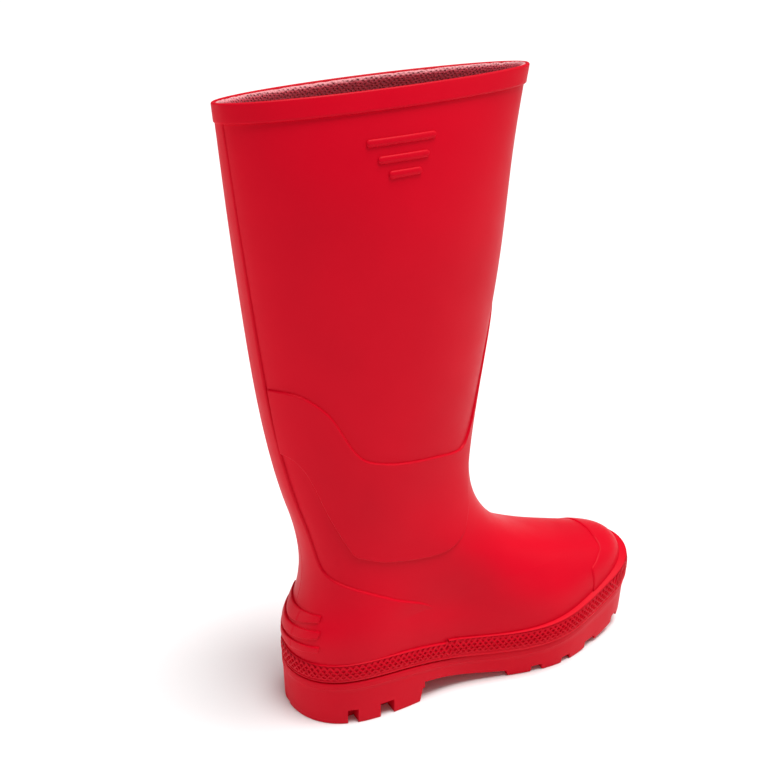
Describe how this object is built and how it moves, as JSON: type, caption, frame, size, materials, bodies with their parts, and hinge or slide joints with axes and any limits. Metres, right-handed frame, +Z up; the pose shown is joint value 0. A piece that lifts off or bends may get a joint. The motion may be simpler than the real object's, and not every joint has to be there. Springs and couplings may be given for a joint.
{
  "type": "rubber rain boot",
  "caption": "Knee-height right rain boot with moulded upper, cuff, ankle saddle, heel counter, toe cap, kick ribs, knurled foxing, block heel, lugged sole and knit lining.",
  "frame": {"origin": "centre of the bounding box on the ground, under the middle of the boot", "axes": "+X to the toe, +Y to the inner (big-toe) side, +Z up the leg"},
  "size_m": [0.296, 0.099, 0.4134],
  "materials": {
    "boot_rubber": "satin moulded red rubber, smooth, faint orange-peel",
    "sole_rubber": "satin moulded red rubber, knurled edge and worn-in tread face",
    "lining_knit": "matt open knit mesh, lighter red",
    "footbed_foam": "matt fabric-faced foam"
  },
  "bodies": {
    "boot": {"upper_shell": "boot_rubber", "top_band": "boot_rubber", "ankle_saddle": "boot_rubber", "heel_counter": "boot_rubber", "backstay_strip": "boot_rubber", "toe_cap": "boot_rubber", "kick_rib_upper": "boot_rubber", "kick_rib_middle": "boot_rubber", "kick_rib_lower": "boot_rubber", "leg_bar_long": "boot_rubber", "leg_bar_middle": "boot_rubber", "leg_bar_short": "boot_rubber", "foxing_heel": "sole_rubber", "foxing_forefoot": "sole_rubber", "welt_lip": "sole_rubber", "outsole": "sole_rubber", "heel_block": "sole_rubber", "knit_lining": "lining_knit", "lining_sole": "lining_knit"},
    "footbed": {"footbed": "footbed_foam"}
  },
  "joints": [
    {"name": "footbed_lift", "type": "hinge", "parent": "boot", "child": "footbed", "pos_m": [0.1341, 0.0044, 0.042], "axis": [0, 1, 0], "range_deg": [0, 7]}
  ]
}
